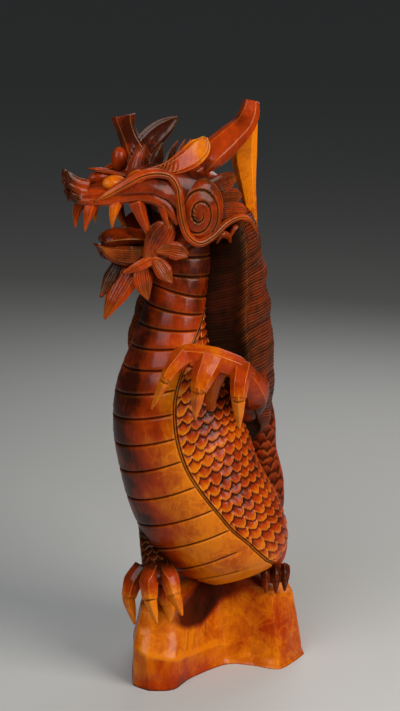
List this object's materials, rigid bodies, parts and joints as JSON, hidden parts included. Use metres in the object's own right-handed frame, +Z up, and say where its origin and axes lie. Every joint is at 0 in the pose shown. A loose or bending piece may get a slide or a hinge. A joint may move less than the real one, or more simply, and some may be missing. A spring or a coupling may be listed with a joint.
{
  "type": "dragon sculpture",
  "caption": "Standing dragon with an open mouth, horns, a combed mane, a plated belly and scaled flanks, carved from one log together with its rock plinth and varnished.",
  "frame": {"origin": "on the plinth's flat underside, under the middle of the log", "axes": "+Z up; the dragon's belly and chest face -Y, and its head is turned to its own right, towards -X and -Y"},
  "size_m": [0.167, 0.2089, 0.5004],
  "materials": {
    "wood": "stained red-brown to honey yellow and varnished to a gloss"
  },
  "bodies": {
    "root": {"dragon_carving": "wood"}
  },
  "joints": []
}
